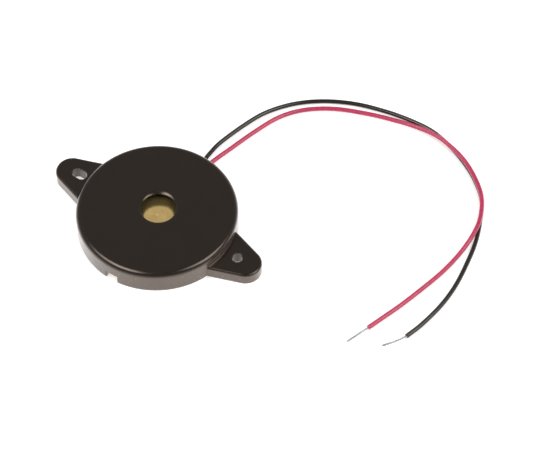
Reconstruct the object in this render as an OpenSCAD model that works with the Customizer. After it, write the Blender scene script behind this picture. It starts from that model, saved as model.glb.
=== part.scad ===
// Piezo buzzer: an open-backed moulded housing with two screw ears, a brass diaphragm
// that carries a piezo ceramic disc, and a red and a black lead with stripped ends.
// Z is up and the open back rests on z = 0, centred on the origin. The screw ears lie
// along X, with the round hole at +X and the slot at -X. The leads leave at +Y.

/* [Body] */
// Diameter of the body at its open back
body_d = 34; // [30:0.5:40]
// Height of the body
body_h = 5.4; // [5.2:0.1:8]
// How far the side wall leans in between the back and the front face
body_draft = 0.02; // [0:0.02:0.6]
// Thickness of the skirt
skirt_t = 1.3; // [1.1:0.05:2]
// Thickness of the front wall
front_t = 0.85; // [0.7:0.05:1.5]
// Rounding of the front edge
front_round = 1.1; // [0.1:0.05:1.3]
// Width of the chamfer round the inside of the open back
mouth_chamfer = 0.2; // [0.05:0.05:0.4]

/* [Sound hole] */
// Diameter of the sound hole
sound_d = 7.5; // [4:0.1:12]
// How far the sound hole sits from the body's centre, towards the leads
sound_shift = 0.5; // [0:0.1:2]
// Rounding of the sound hole's front rim
sound_round = 0.7; // [0.1:0.05:0.8]

/* [Screw ears] */
// Distance from the body's side to the centre of a screw hole
screw_reach = 3; // [2.4:0.1:5]
// Distance from the centre of a screw hole to the tip of its ear
tip_reach = 5.4; // [4.4:0.05:7]
// Thickness of the ears
ear_t = 2.9; // [2:0.1:4]
// Radius of an ear's tip
ear_tip_r = 3.45; // [2.6:0.05:4.2]
// Angle at which each side of an ear spreads towards the body
ear_spread = 18.5; // [5:0.5:25]
// Rounding of an ear's upper edge
ear_round = 0.5; // [0.1:0.05:0.7]
// Diameter of the round screw hole and width of the slot
screw_d = 2.3; // [2:0.1:3.2]
// How much longer the slot is than it is wide
slot_travel = 1.2; // [0.5:0.1:2]

/* [Sounder] */
// Depth of the air space between the front wall and the diaphragm
air_h = 1.35; // [1:0.05:1.8]
// Width of the step that the diaphragm seats on
seat_w = 1.4; // [0.8:0.1:2.5]
// Thickness of the brass diaphragm
plate_t = 0.3; // [0.15:0.05:0.4]
// Clearance between the diaphragm's edge and the skirt
plate_gap = 0.2; // [0.1:0.05:0.4]
// Diameter of the ceramic disc
ceramic_d = 20; // [14:0.5:22]
// Thickness of the ceramic disc
ceramic_t = 0.25; // [0.15:0.05:0.4]
// How far the adhesive covers the diaphragm
bead_w = 1; // [0.5:0.1:1.4]
// How far the adhesive climbs the skirt
bead_h = 0.7; // [0.3:0.1:0.9]

/* [Leads] */
// Diameter of the insulation
lead_d = 1; // [0.7:0.05:1.2]
// Diameter of the tinned strands
strand_d = 0.4; // [0.3:0.05:0.6]
// Play of the two leads across a notch
notch_play = 0.8; // [0.5:0.1:1.5]
// Play of a lead below the top of a notch
notch_head = 1; // [0.5:0.1:1.2]
// Width of a solder joint at its foot
solder_w = 2.4; // [2:0.1:3]
// Height of a solder joint
solder_h = 0.95; // [0.8:0.05:1.2]
// Bare strands between a solder joint's centre and the insulation
bare_l = 1.65; // [1.5:0.05:2.2]

/* [Hidden] */
$fn = 96;

// Length by which a cutter runs past the face that it opens
past = 1;

// Body
body_r = body_d / 2;
skirt_r = body_r - skirt_t;
seat_r = skirt_r - seat_w;
wall_lean = atan2(body_draft, body_h);
ceiling_z = body_h - front_t;
seat_z = ceiling_z - air_h;

// Ears: each tapers from a wide end inside the skirt to its tip, tangent to both
screw_x = body_r + screw_reach;
tip_x = screw_x + tip_reach - ear_tip_r;
root_x = seat_r;
root_r = ear_tip_r + (tip_x - root_x) * sin(ear_spread);

// Sounder
plate_d = 2 * (skirt_r - plate_gap);
plate_z = seat_z - plate_t;
ceramic_z = plate_z - ceramic_t;

// Notches, as wide as both leads side by side
notch_w = 2 * lead_d + notch_play;
notch_h = lead_d + notch_head;

// Solder joints: the red one just inside the ceramic's edge, and the black one on the
// brass, half-way between the ceramic and the adhesive
red_solder_r = ceramic_d / 2 - solder_w;
black_solder_r = (ceramic_d / 2 + plate_d / 2 - bead_w) / 2;
red_turn = 67;
black_turn = 122;
red_solder_at = [red_solder_r * cos(red_turn), red_solder_r * sin(red_turn), ceramic_z];
black_solder_at = [black_solder_r * cos(black_turn), black_solder_r * sin(black_turn), plate_z];
solder_ball_r = (solder_w * solder_w / 4 + solder_h * solder_h) / (2 * solder_h);

// The insulation starts just clear of the face that its strands are soldered to
lead_drop = lead_d / 2 + 0.05;
red_from = red_solder_at - [0, 0, lead_drop];
black_from = black_solder_at - [0, 0, lead_drop];
red_way = [-0.25, 1, 0] / norm([-0.25, 1, 0]);
black_way = [0.8, 0.65, 0] / norm([0.8, 0.65, 0]);
// How far a lead dips over its first stretch
sag = [0, 0, -0.25];

// Heights of a lead's centre: flat on the surface, and resting on the other lead
lay = lead_d / 2;
ride = lay + lead_d;

// Route of the red lead, from its solder joint to the end of its insulation
red_route = [
    red_from + bare_l * red_way,
    red_from + (bare_l + 2.5) * red_way + sag,
    [1, 13.8, 1.3],
    [0.7, 16.2, lay + 0.2],
    [0.8, 18.3, lay],
    [1.3, 20.7, lay],
    [2.4, 24.7, lay],
    [4.3, 31.4, lay],
    [6.6, 37.5, lay],
    [10.2, 42.2, lay],
    [15.6, 46, lay],
    [22.3, 48.7, lay],
    [28, 50.3, lay],
    [32.9, 51.2, lay + 0.15],
    [37.9, 51.1, lay + 0.75],
    [41.9, 50.2, ride - 0.05],
    [46.4, 48.5, ride],
    [50.8, 45.6, ride],
    [54.6, 41.8, ride],
    [57, 36.9, ride],
    [57.8, 32.2, lay + 0.8],
    [57.6, 27.2, lay + 0.1],
    [56.8, 21.3, lay],
    [55.2, 14.8, lay],
    [53.6, 9.2, lay],
    [52.2, 5.1, lay],
    [50.9, 1.3, lay]
];

// Route of the black lead, which stays below the red one where they cross
black_route = [
    black_from + bare_l * black_way,
    black_from + (bare_l + 2.2) * black_way + sag,
    [-1.6, 14.1, 1.4],
    [-0.65, 16.2, lay + 0.2],
    [-0.7, 18.3, lay],
    [-0.7, 21.3, lay],
    [-0.4, 24.7, lay],
    [1.2, 31, lay],
    [3.4, 36.9, lay],
    [7.3, 42.3, lay],
    [12.4, 46.5, lay],
    [18.6, 49.6, lay],
    [25.3, 51.4, lay],
    [31.2, 52.2, lay],
    [36.5, 52.2, lay],
    [41.4, 50.9, lay],
    [46.4, 48.6, lay],
    [50.8, 45.7, lay],
    [54.7, 41.8, lay],
    [57.1, 36.9, lay],
    [58.9, 31.8, lay],
    [60, 26.4, lay],
    [60.8, 19.9, lay],
    [60.7, 14, lay],
    [59.7, 7.9, lay],
    [58.5, 3.7, lay]
];

// Routes of the stripped ends, from the end of the insulation down to the surface
red_tip_route = [[50.9, 1.3, lay], [49.9, -1.2, 0.35], [48.9, -3.8, strand_d / 2]];
black_tip_route = [[58.5, 3.7, lay], [57.1, 1.4, 0.35], [55.4, -0.8, strand_d / 2]];

// Rings along each lead and each stripped end, and corners round a ring
lead_rings = 40;
tip_rings = 4;
tube_sides = 8;

// ---- Helpers ----

// Points along an arc round a centre, between two angles
function arc(centre, r, first, last, steps = 8) =
    [for (i = [0:steps]) centre + r * [cos(first + (last - first) * i / steps),
                                       sin(first + (last - first) * i / steps)]];

function unit(v) = v / norm(v);

// Point on the smooth curve through a list of points: u counts points from the first
function on_curve(p, u) =
    let (
        i = min(floor(u), len(p) - 2),
        t = u - i,
        b = p[i],
        c = p[i + 1],
        a = i > 0 ? p[i - 1] : 2 * b - c,
        d = i + 2 < len(p) ? p[i + 2] : 2 * c - b
    )
    b + 0.5 * t * (c - a + t * (2 * a - 5 * b + 4 * c - d + t * (3 * b - a - 3 * c + d)));

// Evenly numbered points along that curve, none lower than a tube of radius r can lie
function along(p, count, r) =
    [for (k = [0:count - 1])
        let (q = on_curve(p, k * (len(p) - 1) / (count - 1)))
        [q.x, q.y, max(q.z, r)]];

// Direction at point k of a line, which starts and ends along the ways given
function heading(line, k, first_way, last_way) =
    k == 0 ? first_way
    : k == len(line) - 1 ? last_way
    : unit(line[k + 1] - line[k - 1]);

// Ring of corners round a point, square to a way
function ring(at, way, r) =
    let (side = unit(cross(way, [0, 0, 1])), top = cross(side, way))
    [for (s = [0:tube_sides - 1])
        let (turn = 360 * s / tube_sides)
        at + r * (cos(turn) * side + sin(turn) * top)];

// Closed tube of radius r along a line
module tube(line, r, first_way, last_way) {
    n = len(line);
    m = tube_sides;
    corners = [for (k = [0:n - 1]) each ring(line[k], heading(line, k, first_way, last_way), r)];
    sides = [for (k = [0:n - 2]) for (s = [0:m - 1])
        let (a = k * m + s, b = k * m + (s + 1) % m)
        each [[a, b, b + m], [a, b + m, a + m]]];
    caps = [[for (s = [0:m - 1]) m - 1 - s], [for (s = [0:m - 1]) (n - 1) * m + s]];
    polyhedron(points = corners, faces = concat(caps, sides));
}

// Direction in which a route ends
function end_way(p) = unit(p[len(p) - 1] - p[len(p) - 2]);

// Straight round rod from a point, along a way
module rod(from, way, l, d) {
    translate(from)
        rotate([0, acos(way.z), atan2(way.y, way.x)])
            cylinder(d = d, h = l, $fn = 32);
}

// ---- Housing ----

// Half section of the solid body, with its leaning side and rounded front edge
module body_section() {
    edge_z = body_h - front_round;
    edge_x = body_r - edge_z * tan(wall_lean) - front_round / cos(wall_lean);
    polygon(concat(
        [[0, 0], [body_r, 0]],
        arc([edge_x, edge_z], front_round, wall_lean, 90),
        [[0, body_h]]
    ));
}

// Half section of the hollow: the open back, the seat step and the air space
module hollow_section() {
    polygon([
        [0, -past],
        [skirt_r + mouth_chamfer, -past],
        [skirt_r + mouth_chamfer, 0],
        [skirt_r, mouth_chamfer],
        [skirt_r, seat_z],
        [seat_r, seat_z],
        [seat_r, ceiling_z],
        [0, ceiling_z]
    ]);
}

// Half section of the sound hole, with its rounded front rim
module sound_hole_section() {
    r = sound_d / 2;
    polygon(concat(
        [[0, seat_z], [r, seat_z]],
        arc([r + sound_round, body_h - sound_round], sound_round, 180, 90),
        [[r + sound_round, body_h + past], [0, body_h + past]]
    ));
}

// Disc of radius r, rounded along its upper edge
module ear_disc(r) {
    rotate_extrude($fn = 64)
        polygon(concat(
            [[0, 0], [r, 0]],
            arc([r - ear_round, ear_t - ear_round], ear_round, 0, 90, 4),
            [[0, ear_t]]
        ));
}

// The ear at +X, from a wide end inside the skirt to its round tip
module ear() {
    hull() {
        translate([root_x, 0, 0])
            ear_disc(root_r);
        translate([tip_x, 0, 0])
            ear_disc(ear_tip_r);
    }
}

// Round-ended slot, long along X
module slot() {
    translate([0, 0, -past])
        linear_extrude(ear_t + 2 * past) {
            square([slot_travel, screw_d], center = true);
            for (side = [-1, 1])
                translate([side * slot_travel / 2, 0])
                    circle(d = screw_d);
        }
}

module housing() {
    color([0.18, 0.16, 0.15])
        difference() {
            union() {
                rotate_extrude()
                    body_section();
                for (turn = [0, 180])
                    rotate([0, 0, turn])
                        ear();
            }
            rotate_extrude()
                hollow_section();
            translate([0, sound_shift, 0])
                rotate_extrude()
                    sound_hole_section();
            translate([screw_x, 0, -past])
                cylinder(d = screw_d, h = ear_t + 2 * past);
            translate([-screw_x, 0, 0])
                slot();
            for (side = [-1, 1])
                translate([0, side * body_r, notch_h / 2 - past / 2])
                    cube([notch_w, 2 * (skirt_t + past), notch_h + past], center = true);
        }
}

// ---- Sounder ----

// Brass disc, seated against the step from the open back
module diaphragm_plate() {
    color([0.83, 0.68, 0.36])
        translate([0, 0, plate_z])
            cylinder(d = plate_d, h = plate_t);
}

// Ceramic disc, bonded to the back of the brass
module piezo_ceramic() {
    color([0.80, 0.80, 0.76])
        translate([0, 0, ceramic_z])
            cylinder(d = ceramic_d, h = ceramic_t);
}

// Adhesive that fills the gap round the diaphragm and makes a hollow fillet below it
module adhesive_ring() {
    plate_r = plate_d / 2;
    inner_r = plate_r - bead_w;
    steps = 8;
    fillet = [for (i = [0:steps])
        let (turn = 90 * i / steps)
        [inner_r + (skirt_r - inner_r) * cos(turn), plate_z - bead_h * (1 - sin(turn))]];
    color([0.90, 0.89, 0.84])
        rotate_extrude()
            polygon(concat(
                fillet,
                [[plate_r, plate_z], [plate_r, seat_z], [skirt_r, seat_z]]
            ));
}

// ---- Solder joints and bare strands inside ----

// Rounded solder joint below a face, with its strands let into it
module solder_joint(at, from, way) {
    color([0.75, 0.76, 0.78])
        difference() {
            translate(at)
                intersection() {
                    translate([0, 0, solder_ball_r - solder_h])
                        sphere(r = solder_ball_r, $fn = 48);
                    translate([0, 0, -solder_h])
                        cylinder(d = solder_w, h = solder_h);
                }
            rod(from, way, bare_l, strand_d);
        }
}

module red_solder() {
    solder_joint(red_solder_at, red_from, red_way);
}

module black_solder() {
    solder_joint(black_solder_at, black_from, black_way);
}

module red_tail() {
    color([0.72, 0.72, 0.74])
        rod(red_from, red_way, bare_l, strand_d);
}

module black_tail() {
    color([0.72, 0.72, 0.74])
        rod(black_from, black_way, bare_l, strand_d);
}

// ---- Leads and their stripped ends ----

module red_lead() {
    color([0.80, 0.23, 0.37])
        tube(along(red_route, lead_rings, lay), lead_d / 2, red_way, end_way(red_route));
}

module black_lead() {
    color([0.22, 0.20, 0.19])
        tube(along(black_route, lead_rings, lay), lead_d / 2, black_way, end_way(black_route));
}

module red_tip() {
    color([0.72, 0.72, 0.74])
        tube(along(red_tip_route, tip_rings, strand_d / 2), strand_d / 2,
             end_way(red_route), end_way(red_tip_route));
}

module black_tip() {
    color([0.72, 0.72, 0.74])
        tube(along(black_tip_route, tip_rings, strand_d / 2), strand_d / 2,
             end_way(black_route), end_way(black_tip_route));
}

housing();
diaphragm_plate();
piezo_ceramic();
adhesive_ring();
red_solder();
black_solder();
red_tail();
black_tail();
red_lead();
black_lead();
red_tip();
black_tip();
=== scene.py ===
import bpy
import math
import random
from mathutils import Matrix, Vector


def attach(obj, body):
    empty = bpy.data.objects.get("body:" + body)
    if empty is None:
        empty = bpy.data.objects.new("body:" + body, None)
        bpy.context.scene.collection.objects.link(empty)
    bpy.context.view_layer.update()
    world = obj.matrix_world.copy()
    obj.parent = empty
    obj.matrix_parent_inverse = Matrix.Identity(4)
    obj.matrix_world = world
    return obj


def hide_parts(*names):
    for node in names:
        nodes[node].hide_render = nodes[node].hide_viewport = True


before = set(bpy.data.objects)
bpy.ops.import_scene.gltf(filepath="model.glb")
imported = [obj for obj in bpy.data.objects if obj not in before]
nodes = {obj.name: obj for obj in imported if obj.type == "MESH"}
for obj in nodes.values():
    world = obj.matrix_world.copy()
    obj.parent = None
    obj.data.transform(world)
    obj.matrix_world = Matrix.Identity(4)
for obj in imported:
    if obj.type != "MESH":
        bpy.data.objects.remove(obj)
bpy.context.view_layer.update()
scene = bpy.context.scene

MM = 0.001


# ---- Camera ----

# Where the camera stands round the part, in degrees from the -Y side towards +X
VIEW_TURN = 31.85
# How steeply it looks down, and how far it is rolled about its own axis, in degrees
VIEW_DROP = 54.8
VIEW_ROLL = 0.68
VIEW_DISTANCE = 450.3 * MM
VIEW_AIM = Vector((20.15, 12.38, 0)) * MM
VIEW_LENS = 142.38


def make_camera():
    """The camera stands in front of the ears, to the right, and looks well down on the part."""
    turn = math.radians(VIEW_TURN)
    drop = math.radians(VIEW_DROP)
    back = Vector((
        math.sin(turn) * math.cos(drop),
        -math.cos(turn) * math.cos(drop),
        math.sin(drop),
    ))
    data = bpy.data.cameras.new("camera")
    data.lens = VIEW_LENS
    data.clip_start = 10 * MM
    camera = bpy.data.objects.new("camera", data)
    camera.location = VIEW_AIM + back * VIEW_DISTANCE
    level = (-back).to_track_quat("-Z", "Y").to_matrix().to_4x4()
    roll = Matrix.Rotation(math.radians(VIEW_ROLL), 4, "Z")
    camera.rotation_euler = (level @ roll).to_euler()
    scene.collection.objects.link(camera)
    scene.camera = camera


# ---- Routes of the leads, in millimetres, as in the part's source ----

LEAD_D = 1.0
# A bare end's strands taken together
STRAND_D = 0.4
# Bare strands between a solder joint's centre and the insulation
BARE_L = 1.65
# Height of a lead's centre where it lies on the table, and where it rides over the other lead
LAY = LEAD_D / 2
RIDE = LAY + LEAD_D
# How far a lead has sunk at its second point
SAG = Vector((0, 0, -0.25))
# How far a lead's centre is below the face that its strands are soldered to
LEAD_DROP = LEAD_D / 2 + 0.05


def polar(radius, turn, z):
    """Point at a radius and a turn in degrees round the part's axis."""
    a = math.radians(turn)
    return Vector((radius * math.cos(a), radius * math.sin(a), z))


RED_FROM = polar(7.6, 67, 2.65 - LEAD_DROP)
BLACK_FROM = polar(12.25, 122, 2.9 - LEAD_DROP)
RED_WAY = Vector((-0.25, 1, 0)).normalized()
BLACK_WAY = Vector((0.8, 0.65, 0)).normalized()

RED_ROUTE = [
    RED_FROM + BARE_L * RED_WAY,
    RED_FROM + (BARE_L + 2.5) * RED_WAY + SAG,
    (1, 13.8, 1.3),
    (0.7, 16.2, LAY + 0.2),
    (0.8, 18.3, LAY),
    (1.3, 20.7, LAY),
    (2.4, 24.7, LAY),
    (4.3, 31.4, LAY),
    (6.6, 37.5, LAY),
    (10.2, 42.2, LAY),
    (15.6, 46, LAY),
    (22.3, 48.7, LAY),
    (28, 50.3, LAY),
    (32.9, 51.2, LAY + 0.15),
    (37.9, 51.1, LAY + 0.75),
    (41.9, 50.2, RIDE - 0.05),
    (46.4, 48.5, RIDE),
    (50.8, 45.6, RIDE),
    (54.6, 41.8, RIDE),
    (57, 36.9, RIDE),
    (57.8, 32.2, LAY + 0.8),
    (57.6, 27.2, LAY + 0.1),
    (56.8, 21.3, LAY),
    (55.2, 14.8, LAY),
    (53.6, 9.2, LAY),
    (52.2, 5.1, LAY),
    (50.9, 1.3, LAY),
]

BLACK_ROUTE = [
    BLACK_FROM + BARE_L * BLACK_WAY,
    BLACK_FROM + (BARE_L + 2.2) * BLACK_WAY + SAG,
    (-1.6, 14.1, 1.4),
    (-0.65, 16.2, LAY + 0.2),
    (-0.7, 18.3, LAY),
    (-0.7, 21.3, LAY),
    (-0.4, 24.7, LAY),
    (1.2, 31, LAY),
    (3.4, 36.9, LAY),
    (7.3, 42.3, LAY),
    (12.4, 46.5, LAY),
    (18.6, 49.6, LAY),
    (25.3, 51.4, LAY),
    (31.2, 52.2, LAY),
    (36.5, 52.2, LAY),
    (41.4, 50.9, LAY),
    (46.4, 48.6, LAY),
    (50.8, 45.7, LAY),
    (54.7, 41.8, LAY),
    (57.1, 36.9, LAY),
    (58.9, 31.8, LAY),
    (60, 26.4, LAY),
    (60.8, 19.9, LAY),
    (60.7, 14, LAY),
    (59.7, 7.9, LAY),
    (58.5, 3.7, LAY),
]

RED_TIP_ROUTE = [(50.9, 1.3, LAY), (49.9, -1.2, 0.35), (48.9, -3.8, STRAND_D / 2)]
BLACK_TIP_ROUTE = [(58.5, 3.7, LAY), (57.1, 1.4, 0.35), (55.4, -0.8, STRAND_D / 2)]


def neighbours(points, k):
    """The points before and after point k, run on in a straight line past either end."""
    before = points[k - 1] if k > 0 else 2 * points[0] - points[1]
    after = points[k + 1] if k + 1 < len(points) else 2 * points[k] - points[k - 1]
    return before, after


def on_curve(points, u):
    """Point on the smooth curve through the points, with u counting them from the first."""
    i = min(int(u), len(points) - 2)
    t = u - i
    b, c = points[i], points[i + 1]
    a, d = neighbours(points, i)[0], neighbours(points, i + 1)[1]
    return b + 0.5 * t * (c - a + t * (2 * a - 5 * b + 4 * c - d + t * (3 * b - a - 3 * c + d)))


# ---- Tubes ----

def stations(line):
    """Each point of a line, with the way the line runs there and two directions square to it."""
    side = Vector((0, 0, 1)).cross(line[1] - line[0])
    for k, point in enumerate(line):
        way = (line[min(k + 1, len(line) - 1)] - line[max(k - 1, 0)]).normalized()
        side = (side - way * side.dot(way)).normalized()
        yield point, side, way.cross(side)


def add_tube(verts, faces, line, radius, sides):
    """Closed round tube along a line. It stays above the table, and its corners are in metres."""
    first = len(verts)
    for point, side, top in stations(line):
        for c in range(sides):
            a = 2 * math.pi * c / sides
            v = point + radius * (math.cos(a) * side + math.sin(a) * top)
            verts.append(Vector((v.x, v.y, max(v.z, 0))) * MM)
    for k in range(len(line) - 1):
        here = first + k * sides
        for c in range(sides):
            a, b = here + c, here + (c + 1) % sides
            faces.append((a, b, b + sides, a + sides))
    last = len(verts) - sides
    faces.append(tuple(first + sides - 1 - c for c in range(sides)))
    faces.append(tuple(last + c for c in range(sides)))


def new_piece(name, verts, faces):
    """Object in the scene, smooth along its tubes and flat on their ends."""
    mesh = bpy.data.meshes.new(name)
    mesh.from_pydata(verts, [], faces)
    mesh.validate()
    mesh.update()
    for face in mesh.polygons:
        face.use_smooth = len(face.vertices) == 4
    piece = bpy.data.objects.new(name, mesh)
    scene.collection.objects.link(piece)
    return piece


# ---- Leads, each on the same smooth curve as its CAD tube ----

LEAD_SIDES = 20
# Rings of the tube from one point of the route to the next
RINGS_A_SPAN = 14
# The tube is a hair thinner than the lead, which keeps it inside the CAD tube's box
LEAD_R = LEAD_D / 2 - 0.005


def lead_line(route):
    """Points along a lead's centre, which never goes below its height on the table."""
    points = [Vector(p) for p in route]
    count = (len(points) - 1) * RINGS_A_SPAN
    line = [on_curve(points, k / RINGS_A_SPAN) for k in range(count + 1)]
    for p in line:
        p.z = max(p.z, LAY)
    return line


def make_lead(name, line):
    """A lead's insulation."""
    verts, faces = [], []
    add_tube(verts, faces, line, LEAD_R, LEAD_SIDES)
    return new_piece(name, verts, faces)


# ---- Bare ends: seven tinned strands laid into a rope ----

# Strands wound round the one in the middle, which makes a bare end three strands across
WOUND = 6
STRAND_R = STRAND_D / 6
STRAND_SIDES = 8
# Length of a bare end in which its strands go round once
ROPE_PITCH = 2.9
# How far a bare end runs into the insulation
TUCK_IN = 0.3
# How much the strands open at a stripped end
FRAY = 0.22
TIP_STEPS = 90
TAIL_STEPS = 30


def strand_line(line, reach, turn, spread, seed):
    """Centres of one strand, wound round the line at a distance, opening by spread at the far end."""
    rng = random.Random(seed)
    lean = Vector((rng.uniform(-1, 1), rng.uniform(-1, 1), rng.uniform(0, 1))) * spread
    gone, out = 0.0, []
    for k, (point, side, top) in enumerate(stations(line)):
        if k:
            gone += (point - line[k - 1]).length
        a = turn + 2 * math.pi * gone / ROPE_PITCH
        off = side * math.cos(a) + top * math.sin(a)
        open_up = (k / (len(line) - 1)) ** 3
        out.append(point + off * reach * (1 + spread * open_up) + lean * STRAND_D * open_up)
    return out


def make_rope(name, line, spread, seed):
    """Round strands laid along a line, with all but the last wound round it, cut a little unevenly."""
    verts, faces = [], []
    for s in range(WOUND + 1):
        reach = 2 * STRAND_R if s < WOUND else 0
        strand = strand_line(line, reach, 2 * math.pi * s / WOUND, spread, seed + s)
        cut_off = (s * 5 + seed) % 4
        add_tube(verts, faces, strand[:len(strand) - cut_off], STRAND_R, STRAND_SIDES)
    return new_piece(name, verts, faces)


def make_tip(name, route, seed):
    """A stripped end, which starts a little way inside the insulation."""
    points = [Vector(p) for p in route]
    spans = len(points) - 1
    line = [on_curve(points, k * spans / TIP_STEPS) for k in range(TIP_STEPS + 1)]
    inside = (line[0] - line[1]).normalized() * TUCK_IN
    return make_rope(name, [line[0] + inside] + line, FRAY, seed)


def make_tail(name, start, way, seed):
    """The straight bare strands from a solder joint to a little way inside the insulation."""
    length = BARE_L + TUCK_IN
    line = [start + way * (length * k / TAIL_STEPS) for k in range(TAIL_STEPS + 1)]
    return make_rope(name, line, 0, seed)


# ---- Materials ----

def new_material(name):
    """Material with its node tree and the shader in it."""
    material = bpy.data.materials.new(name)
    material.use_nodes = True
    tree = material.node_tree
    shader = tree.nodes["Principled BSDF"]
    return material, tree, shader


def add(tree, kind, values=(), **settings):
    """New node of a kind, with settings on it and values on its inputs by name or number."""
    node = tree.nodes.new(kind)
    for key, value in settings.items():
        setattr(node, key, value)
    for key, value in dict(values).items():
        if isinstance(value, bpy.types.NodeSocket):
            tree.links.new(value, node.inputs[key])
        else:
            node.inputs[key].default_value = value
    return node


def coords(tree):
    """Places in the part's own frame, in metres."""
    return add(tree, "ShaderNodeTexCoord").outputs["Object"]


def noise(tree, where, scale, detail=3, rough=0.5):
    """Cloudy values about 0.5, with so many clouds to a metre."""
    return add(tree, "ShaderNodeTexNoise", {
        "Vector": where, "Scale": scale, "Detail": detail, "Roughness": rough,
    }).outputs[0]


def maths(tree, operation, a, b=0.0):
    """A value worked out from one or two others."""
    return add(tree, "ShaderNodeMath", {0: a, 1: b}, operation=operation).outputs[0]


def vector_maths(tree, operation, a, b=(0, 0, 0)):
    """A vector worked out from one or two others."""
    return add(tree, "ShaderNodeVectorMath", {0: a, 1: b}, operation=operation).outputs[0]


def scaled(tree, vector, by):
    """A vector made longer or shorter."""
    return add(tree, "ShaderNodeVectorMath", {0: vector, "Scale": by}, operation="SCALE").outputs[0]


def up_part(tree, vector):
    """A vector's part along Z."""
    return add(tree, "ShaderNodeSeparateXYZ", {0: vector}).outputs[2]


def between(tree, value, low, high, to_low=0.0, to_high=1.0):
    """Value taken from one range to another, and held inside it."""
    return add(tree, "ShaderNodeMapRange", {
        "Value": value, "From Min": low, "From Max": high, "To Min": to_low, "To Max": to_high,
    }).outputs[0]


def ramp(tree, value, *stops):
    """Colour ramp of (position, colour) stops."""
    node = add(tree, "ShaderNodeValToRGB", {"Fac": value})
    elements = node.color_ramp.elements
    while len(elements) < len(stops):
        elements.new(0.5)
    for element, (at, colour) in zip(elements, stops):
        element.position = at
        element.color = (*colour, 1)
    return node.outputs[0]


# Nearly all of a noise lies between these values
NOISE_LOW, NOISE_HIGH = 0.3, 0.7


def stretched(tree, values, low, high):
    """A noise stretched over a range."""
    return between(tree, values, NOISE_LOW, NOISE_HIGH, low, high)


def mottle(tree, values, low, high):
    """Two colours run into each other by a noise."""
    return ramp(tree, values, (NOISE_LOW, low), (NOISE_HIGH, high))


def mix(tree, factor, a, b):
    """Colour that goes from the first to the second as the factor goes from 0 to 1."""
    node = add(tree, "ShaderNodeMix", data_type="RGBA")
    for key, value in (("Factor", factor), ("A", a), ("B", b)):
        socket = next(s for s in node.inputs if s.name == key and s.enabled)
        if isinstance(value, bpy.types.NodeSocket):
            tree.links.new(value, socket)
        else:
            socket.default_value = value if key == "Factor" else (*value, 1)
    return next(s for s in node.outputs if s.enabled)


def bump(tree, height, strength, distance, over=None):
    """Normals of a bumpy surface, laid over other normals where some are given."""
    node = add(tree, "ShaderNodeBump", {
        "Height": height, "Strength": strength, "Distance": distance,
    })
    if over:
        tree.links.new(over, node.inputs["Normal"])
    return node.outputs[0]


def from_axis(tree, where, x=0.0, y=0.0):
    """Distance from the part's own axis, or from an upright one beside it."""
    moved = vector_maths(tree, "ADD", where, (-x, -y, 0))
    flat = vector_maths(tree, "MULTIPLY", moved, (1, 1, 0))
    return add(tree, "ShaderNodeVectorMath", {0: flat}, operation="LENGTH").outputs["Value"]


def wire_up(tree, shader, links):
    """Links a value to each named input of the shader."""
    for key, value in links.items():
        tree.links.new(value, shader.inputs[key])


def set_up(shader, values):
    """Sets a constant on each named input of the shader."""
    for key, value in values.items():
        shader.inputs[key].default_value = value


# How far the shading eases the moulded edges, and how far those of the screw holes
EDGE_EASE = 0.45 * MM
HOLE_EASE = 0.1 * MM
# How far each screw hole is from the part's axis, and the ring round it where the ease grows
SCREW_X = 20 * MM
SCREW_RING = (1.8 * MM, 2.2 * MM)
# How far the sound hole is from the part's axis, towards the leads
SOUND_SHIFT = 0.5 * MM
# The ring and the heights where the sound hole's lip ends, and how much it is turned up to the front
LIP_RING = (4.46 * MM, 4.4 * MM)
LIP_FOOT = (4.7 * MM, 4.75 * MM)
LIP_LEAN = 1.4
# The ring outside which the upright faces are the walls that the mould textures, and that are coloured
# lighter than the flat faces as painted light
WALL_RING = (12 * MM, 13 * MM)


def eased_normals(tree, where):
    """Normals with the moulded edges eased and the lip of the sound hole turned up."""
    either_side = vector_maths(tree, "ABSOLUTE", where)
    from_screw = from_axis(tree, either_side, x=SCREW_X)
    ease = between(tree, from_screw, *SCREW_RING, HOLE_EASE, EDGE_EASE)
    eased = add(tree, "ShaderNodeBevel", {"Radius": ease}, samples=8).outputs[0]
    near = between(tree, from_axis(tree, where, y=SOUND_SHIFT), *LIP_RING)
    high = between(tree, up_part(tree, where), *LIP_FOOT)
    lip = maths(tree, "MULTIPLY", near, high)
    return vector_maths(tree, "ADD", eased, scaled(tree, (0, 0, LIP_LEAN), lip))


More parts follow.
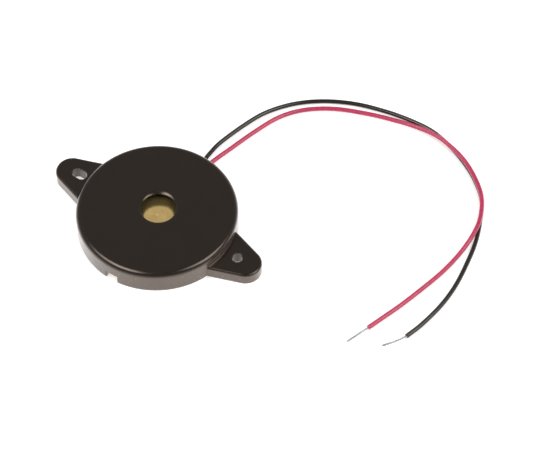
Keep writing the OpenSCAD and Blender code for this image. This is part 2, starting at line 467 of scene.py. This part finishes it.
def housing_plastic():
    """Black moulding compound: satin on the flat faces and finely textured on the walls, which are
    coloured lighter than the flat faces as painted light.
    """
    material, tree, shader = new_material("housing_plastic")
    where = coords(tree)
    cloud = noise(tree, where, 260, detail=4)
    grain = noise(tree, where, 6500, detail=2, rough=0.6)
    normal = add(tree, "ShaderNodeTexCoord").outputs["Normal"]
    steep = between(tree, maths(tree, "ABSOLUTE", up_part(tree, normal)), 0.35, 0.1)
    wall_texture_and_painted_light = maths(tree, "MULTIPLY", steep, between(tree, from_axis(tree, where), *WALL_RING))
    # The flat faces' near-black and the walls' grey are a painted-shade copy and a painted-light copy
    # of one black compound; only the walls' texture and roughness are real
    face = mottle(tree, cloud, (0.004, 0.0021, 0.0013), (0.0056, 0.0033, 0.0022))
    side = mottle(tree, cloud, (0.07, 0.0475, 0.036), (0.089, 0.063, 0.05))
    rough = stretched(tree, noise(tree, where, 900), 0.15, 0.2)
    texture = maths(tree, "MULTIPLY", grain, between(tree, wall_texture_and_painted_light, 0, 1, 0.2, 1))
    wire_up(tree, shader, {
        "Base Color": mix(tree, wall_texture_and_painted_light, face, side),
        "Roughness": maths(tree, "ADD", rough, maths(tree, "MULTIPLY", wall_texture_and_painted_light, 0.08)),
        "Normal": bump(tree, texture, 0.1, 0.02 * MM, over=eased_normals(tree, where)),
    })
    set_up(shader, {"Specular IOR Level": 0.52, "Specular Tint": (1, 0.83, 0.71, 1)})
    return material


# How fast the brass seems to turn outwards from its centre, as radians a metre, and the ring
# in which this dies away
BOW = 50
BOW_RING = (8 * MM, 4 * MM)


def bowed_normals(tree, where, radius):
    """Normals of the brass as if it were a little crowned behind the sound hole."""
    flat = add(tree, "ShaderNodeNewGeometry").outputs["Normal"]
    bow = maths(tree, "MULTIPLY", up_part(tree, flat), between(tree, radius, *BOW_RING, 0.0, BOW))
    outwards = vector_maths(tree, "MULTIPLY", where, (1, 1, 0))
    return vector_maths(tree, "ADD", flat, scaled(tree, outwards, bow))


def brass():
    """Rolled brass with a bright centre, faint turning marks and tarnish."""
    material, tree, shader = new_material("brass")
    where = coords(tree)
    radius = from_axis(tree, where)
    along_radius = add(tree, "ShaderNodeCombineXYZ", {0: radius}).outputs[0]
    rings = noise(tree, along_radius, 2600, detail=2)
    drawn_out = add(tree, "ShaderNodeMapping", {"Vector": where, "Scale": (0.12, 3.0, 1.0)}).outputs[0]
    rolled = noise(tree, drawn_out, 2400)
    stain = noise(tree, where, 420, detail=4, rough=0.6)
    tone = ramp(tree, stain, (0.32, (0.72, 0.51, 0.19)), (0.68, (0.86, 0.64, 0.27)))
    turned = mix(tree, between(tree, rings, 0.35, 0.65, 0.0, 0.16), tone, (0.5, 0.34, 0.13))
    centre = between(tree, radius, 0.6 * MM, 0.2 * MM, 0.0, 0.35)
    rough = maths(tree, "ADD", stretched(tree, stain, 0.12, 0.2), stretched(tree, rings, 0.0, 0.06))
    marks = maths(tree, "ADD", rolled, rings)
    wire_up(tree, shader, {
        "Base Color": mix(tree, centre, turned, (0.95, 0.8, 0.45)),
        "Roughness": rough,
        "Normal": bump(tree, marks, 0.12, 0.01 * MM, over=bowed_normals(tree, where, radius)),
    })
    set_up(shader, {"Metallic": 0.88})
    return material


# The ring in which the silver on the ceramic ends
SILVER_EDGE = (9.45 * MM, 9.52 * MM)


def ceramic():
    """Fired silver on the ceramic disc, which stops short of the bare rim."""
    material, tree, shader = new_material("ceramic")
    where = coords(tree)
    wobble = maths(tree, "MULTIPLY", noise(tree, where, 900, detail=2), 0.2 * MM)
    rim = between(tree, maths(tree, "ADD", from_axis(tree, where), wobble), *SILVER_EDGE)
    weave = noise(tree, where, 5200, detail=2)
    silver = mottle(tree, noise(tree, where, 700, detail=4), (0.6, 0.59, 0.56), (0.74, 0.73, 0.7))
    bare = mottle(tree, weave, (0.3, 0.27, 0.2), (0.38, 0.34, 0.27))
    wire_up(tree, shader, {
        "Base Color": mix(tree, rim, silver, bare),
        "Roughness": stretched(tree, weave, 0.38, 0.5),
        "Metallic": between(tree, rim, 0, 1, 0.75, 0.0),
        "Normal": bump(tree, weave, 0.2, 0.01 * MM),
    })
    return material


def silicone():
    """Cured adhesive: milky, soft and a little uneven."""
    material, tree, shader = new_material("silicone")
    lumps = noise(tree, coords(tree), 600)
    wire_up(tree, shader, {
        "Base Color": mottle(tree, lumps, (0.7, 0.68, 0.61), (0.84, 0.83, 0.78)),
        "Roughness": stretched(tree, lumps, 0.3, 0.45),
        "Normal": bump(tree, lumps, 0.4, 0.1 * MM),
    })
    set_up(shader, {
        "Subsurface Weight": 0.2,
        "Subsurface Radius": (1, 0.95, 0.85),
        "Subsurface Scale": 0.4 * MM,
    })
    return material


def grey_metal(name, low, high, scale, smooth, rough, depth):
    """Grey metal mottled at a scale: smoother where it is lighter, with dents of a depth."""
    material, tree, shader = new_material(name)
    spots = noise(tree, coords(tree), scale, detail=4, rough=0.6)
    wire_up(tree, shader, {
        "Base Color": mottle(tree, spots, low, high),
        "Roughness": stretched(tree, spots, rough, smooth),
        "Normal": bump(tree, spots, 0.3, depth),
    })
    set_up(shader, {"Metallic": 1})
    return material


def tinned_strands():
    """Tinned copper: dull grey."""
    return grey_metal("tinned", (0.24, 0.245, 0.25), (0.46, 0.465, 0.47), 3000, 0.28, 0.4, 0.01 * MM)


def solder():
    """Bright solder with a slightly uneven skin."""
    return grey_metal("solder", (0.58, 0.58, 0.57), (0.78, 0.78, 0.78), 1500, 0.12, 0.3, 0.03 * MM)


def insulation(name, low, high, rough, gloss=(1, 1, 1)):
    """Extruded PVC: even, slightly glossy, with a faint unevenness along the wire."""
    material, tree, shader = new_material(name)
    where = coords(tree)
    skin = noise(tree, where, 3200, detail=2)
    wire_up(tree, shader, {
        "Base Color": mottle(tree, noise(tree, where, 330), low, high),
        "Roughness": stretched(tree, skin, rough, rough + 0.08),
        "Normal": bump(tree, skin, 0.15, 0.02 * MM),
    })
    set_up(shader, {"Specular Tint": (*gloss, 1)})
    return material


def red_insulation():
    """Red PVC."""
    return insulation("red_insulation", (0.48, 0.021, 0.082), (0.55, 0.028, 0.102), 0.24)


def black_insulation():
    """Black PVC, with a warm gloss."""
    return insulation("black_insulation", (0.007, 0.0055, 0.004), (0.011, 0.0088, 0.0065), 0.14,
                      gloss=(1, 0.93, 0.86))


def dress(obj, material):
    """Gives an object one material and no other."""
    obj.data.materials.clear()
    obj.data.materials.append(material)


# ---- Studio ----

FLOOR_HALF = 3.0
# How much the floor glows for the camera, under the round screw hole, and in what is glossy
FLOOR_GLOW = 0.48
SHADE_GLOW = 0.12
GLOSS_GLOW = 1.3
# The ring round the screw hole's axis where the shade ends
SHADE_RING = (1.5 * MM, 2 * MM)


def floor_paper():
    """Pale paper that glows a little, apart from the shade under the round screw hole."""
    material, tree, shader = new_material("floor")
    path = add(tree, "ShaderNodeLightPath").outputs
    seen = maths(tree, "MAXIMUM", path["Is Camera Ray"], path["Is Transmission Ray"])
    from_screw = from_axis(tree, coords(tree), x=SCREW_X)
    in_sight = between(tree, from_screw, *SHADE_RING, SHADE_GLOW, FLOOR_GLOW)
    glow = maths(tree, "ADD", maths(tree, "MULTIPLY", seen, in_sight),
                 maths(tree, "MULTIPLY", path["Is Glossy Ray"], GLOSS_GLOW))
    wire_up(tree, shader, {"Emission Strength": glow})
    set_up(shader, {
        "Base Color": (0.9, 0.9, 0.9, 1),
        "Roughness": 1,
        "Specular IOR Level": 0,
        "Emission Color": (1, 1, 1, 1),
    })
    return material


def make_floor():
    """Large sheet just below the part."""
    h, z = FLOOR_HALF, -0.01 * MM
    mesh = bpy.data.meshes.new("floor")
    mesh.from_pydata([(-h, -h, z), (h, -h, z), (h, h, z), (-h, h, z)], [], [(0, 1, 2, 3)])
    floor = bpy.data.objects.new("floor", mesh)
    scene.collection.objects.link(floor)
    dress(floor, floor_paper())


def make_world():
    """White round the horizon and greyer overhead, and a little dimmer behind the camera."""
    world = bpy.data.worlds.new("world")
    scene.world = world
    world.use_nodes = True
    tree = world.node_tree
    way = add(tree, "ShaderNodeTexCoord").outputs["Generated"]
    steepness = maths(tree, "ABSOLUTE", up_part(tree, way))
    light = ramp(tree, steepness, (0.0, (0.9, 0.9, 0.9)), (0.3, (0.8, 0.79, 0.78)),
                 (0.65, (0.6, 0.59, 0.58)), (1.0, (0.5, 0.49, 0.48)))
    turn = math.radians(VIEW_TURN)
    to_camera = (math.sin(turn), -math.cos(turn), 0)
    facing = add(tree, "ShaderNodeVectorMath", {0: way, 1: to_camera},
                 operation="DOT_PRODUCT").outputs["Value"]
    dim = between(tree, facing, -0.3, 0.4, 0.0, 0.15)
    tree.links.new(mix(tree, dim, light, (0, 0, 0)), tree.nodes["Background"].inputs["Color"])


SOFTBOX_DISTANCE = 0.5


def make_softbox(name, lean, forward, size, power, only_gloss=False):
    """Panel that leans from overhead, by degrees, to one side and towards the camera."""
    data = bpy.data.lights.new(name, "AREA")
    data.shape = "RECTANGLE"
    data.energy = power
    data.size, data.size_y = size
    turn = (Matrix.Rotation(math.radians(VIEW_TURN), 4, "Z")
            @ Matrix.Rotation(math.radians(forward), 4, "X")
            @ Matrix.Rotation(math.radians(lean), 4, "Y"))
    softbox = bpy.data.objects.new(name, data)
    softbox.matrix_world = turn @ Matrix.Translation((0, 0, SOFTBOX_DISTANCE))
    softbox.visible_diffuse = not only_gloss
    scene.collection.objects.link(softbox)


# ---- The part ----

make_camera()

red_line = lead_line(RED_ROUTE)
black_line = lead_line(BLACK_ROUTE)
red_lead = make_lead("red_insulation_lead", red_line)
black_lead = make_lead("black_insulation_lead", black_line)
red_strands = make_tip("red_lead_strands", RED_TIP_ROUTE, 3)
black_strands = make_tip("black_lead_strands", BLACK_TIP_ROUTE, 8)
red_tail = make_tail("red_joint_strands", RED_FROM, RED_WAY, 14)
black_tail = make_tail("black_joint_strands", BLACK_FROM, BLACK_WAY, 21)

tinned = tinned_strands()
red_pvc = red_insulation()
black_pvc = black_insulation()
for piece, node, slot, material in (
    (red_lead, "red_lead", "red_insulation", red_pvc),
    (black_lead, "black_lead", "black_insulation", black_pvc),
    (red_strands, "red_tip", "tinned_strands", tinned),
    (black_strands, "black_tip", "tinned_strands", tinned),
    (red_tail, "red_tail", "tinned_strands", tinned),
    (black_tail, "black_tail", "tinned_strands", tinned),
):
    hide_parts(node)
    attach(piece, "root")
    dress(piece, material)
    dress(nodes[node], material)

joint_solder = solder()
for node, material in (
    ("housing", housing_plastic()),
    ("diaphragm_plate", brass()),
    ("piezo_ceramic", ceramic()),
    ("adhesive_ring", silicone()),
    ("red_solder", joint_solder),
    ("black_solder", joint_solder),
):
    dress(nodes[node], material)

make_floor()
make_world()
# Two soft lights, and two more that only show in reflections, mostly on the rounded edges
make_softbox("left_softbox", -32, 10, (0.3, 0.26), 0.7)
make_softbox("right_softbox", 32, 10, (0.3, 0.26), 0.7)
make_softbox("left_glint", -22, 8, (0.2, 0.34), 1.2, only_gloss=True)
make_softbox("right_glint", 39, 14, (0.29, 0.32), 0.95, only_gloss=True)
scene.view_settings.view_transform = "Standard"
